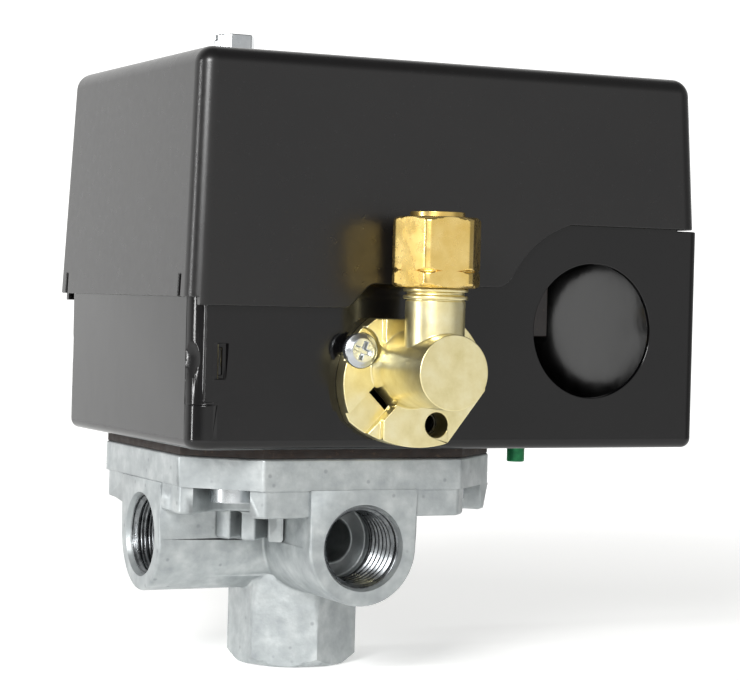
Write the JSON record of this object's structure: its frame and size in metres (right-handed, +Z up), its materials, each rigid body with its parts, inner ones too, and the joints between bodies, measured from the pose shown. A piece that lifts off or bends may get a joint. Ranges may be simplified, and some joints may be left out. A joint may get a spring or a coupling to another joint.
{
  "type": "pressure switch",
  "caption": "Air compressor pressure switch: steel base and cover over a diaphragm, lever and contacts, on a four-port pipe manifold, with a side unloader valve.",
  "frame": {"origin": "centre of the bottom pipe port's mouth", "axes": "+Z up, out of the pipe and into the switch; +X along the housing towards the conduit holes; -Y out of the front port and the unloader valve's side"},
  "size_m": [0.0925, 0.0831, 0.1055],
  "materials": {
    "zinc_casting": "die-cast, matt grey",
    "black_gloss_paint": "gloss black paint on steel",
    "black_satin_paint": "satin black paint on steel",
    "pale_brass": "machined brass, pale",
    "golden_brass": "turned brass, golden",
    "zinc_plate": "bright zinc plate",
    "spring_steel": "drawn spring wire",
    "dark_clip": "black phosphated spring steel",
    "diaphragm_rubber": "fabric-reinforced rubber",
    "seal_rubber": "nitrile rubber",
    "black_phenolic": "moulded phenolic",
    "contact_copper": "copper strip",
    "green_screw": "green dyed zinc plate"
  },
  "bodies": {
    "housing": {"manifold": "zinc_casting", "manifold_screws": "zinc_plate", "diaphragm": "diaphragm_rubber", "base": "black_gloss_paint", "frame": "zinc_plate", "hinge_pin": "zinc_plate", "hinge_clips": "dark_clip", "range_post": "zinc_plate", "diff_stud": "zinc_plate", "terminal_block": "black_phenolic", "block_screws": "zinc_plate", "fixed_contact_1": "golden_brass", "fixed_contact_2": "golden_brass", "fixed_contact_3": "golden_brass", "fixed_contact_4": "golden_brass", "terminal_screws": "zinc_plate", "clamp_plates": "golden_brass", "ground_screw": "green_screw", "unloader_body": "pale_brass", "unloader_screw": "zinc_plate", "unloader_gland": "golden_brass", "unloader_seal": "seal_rubber", "unloader_spring": "spring_steel"},
    "plunger_body": {"plunger": "zinc_plate"},
    "lever_body": {"main_lever": "zinc_plate"},
    "carrier_body": {"contact_carrier": "black_phenolic", "contact_bridge_1": "contact_copper", "contact_bridge_2": "contact_copper", "contact_spring_1": "spring_steel", "contact_spring_2": "spring_steel"},
    "pin_body": {"unloader_pin": "zinc_plate", "unloader_disc": "seal_rubber"},
    "range_seat_body": {"range_seat": "zinc_plate", "range_spring": "spring_steel"},
    "range_nut_body": {"range_nut": "zinc_plate"},
    "diff_seat_body": {"diff_seat": "zinc_plate", "diff_spring": "spring_steel"},
    "diff_nut_body": {"diff_nut": "zinc_plate"},
    "ferrule_body": {"ferrule": "golden_brass"},
    "tube_nut_body": {"compression_nut": "golden_brass"},
    "cover_body": {"cover": "black_satin_paint"},
    "cover_screw_body": {"cover_screw": "zinc_plate"}
  },
  "joints": [
    {"name": "lever_hinge", "type": "hinge", "parent": "housing", "child": "lever_body", "pos_m": [0.009, 0, 0.052], "axis": [0, 1, 0], "range_deg": [0, 8], "stiffness_Nm_per_rad": 0.4, "springref_deg": -17.19, "deforming": ["range_spring", "diff_spring"]},
    {"name": "plunger_lift", "type": "slide", "parent": "housing", "child": "plunger_body", "axis": [0, 0, 1], "range_m": [0, 0.0013]},
    {"name": "contact_drop", "type": "slide", "parent": "housing", "child": "carrier_body", "axis": [0, 0, -1], "range_m": [0, 0.0014]},
    {"name": "unloader_pin_slide", "type": "slide", "parent": "housing", "child": "pin_body", "axis": [0, -1, 0], "range_m": [0, 0.001], "deforming": ["unloader_spring"]},
    {"name": "range_adjust", "type": "slide", "parent": "housing", "child": "range_seat_body", "axis": [0, 0, 1], "range_m": [0, 0.002]},
    {"name": "range_nut_turn", "type": "hinge", "parent": "range_seat_body", "child": "range_nut_body", "pos_m": [-0.013, 0, 0.08], "axis": [0, 0, 1], "range_deg": [0, 721]},
    {"name": "diff_adjust", "type": "slide", "parent": "housing", "child": "diff_seat_body", "axis": [0, 0, 1], "range_m": [0, 0.0014]},
    {"name": "diff_nut_turn", "type": "hinge", "parent": "diff_seat_body", "child": "diff_nut_body", "pos_m": [-0.013, 0.0138, 0.07], "axis": [0, 0, 1], "range_deg": [0, 721]},
    {"name": "tube_nut_back_off", "type": "slide", "parent": "housing", "child": "ferrule_body", "axis": [0, 0, 1], "range_m": [0, 0.003]},
    {"name": "tube_nut_turn", "type": "hinge", "parent": "ferrule_body", "child": "tube_nut_body", "pos_m": [0.0042, -0.043, 0.069], "axis": [0, 0, 1], "range_deg": [0, 1081]},
    {"name": "cover_lift", "type": "slide", "parent": "housing", "child": "cover_body", "axis": [0, 0, 1], "range_m": [0, 0.07]},
    {"name": "cover_screw_turn", "type": "hinge", "parent": "cover_body", "child": "cover_screw_body", "pos_m": [-0.013, 0, 0.1], "axis": [0, 0, 1], "continuous": true}
  ],
  "couplings": [
    {"joint": "plunger_lift", "follows": "lever_hinge", "m_per_rad": 0.009},
    {"joint": "contact_drop", "follows": "lever_hinge", "m_per_rad": 0.00985},
    {"joint": "unloader_pin_slide", "follows": "lever_hinge", "m_per_rad": 0.007},
    {"joint": "range_nut_turn", "follows": "range_adjust", "rad_per_m": 6283.2},
    {"joint": "diff_nut_turn", "follows": "diff_adjust", "rad_per_m": 8976},
    {"joint": "tube_nut_turn", "follows": "tube_nut_back_off", "rad_per_m": 6283.2}
  ]
}
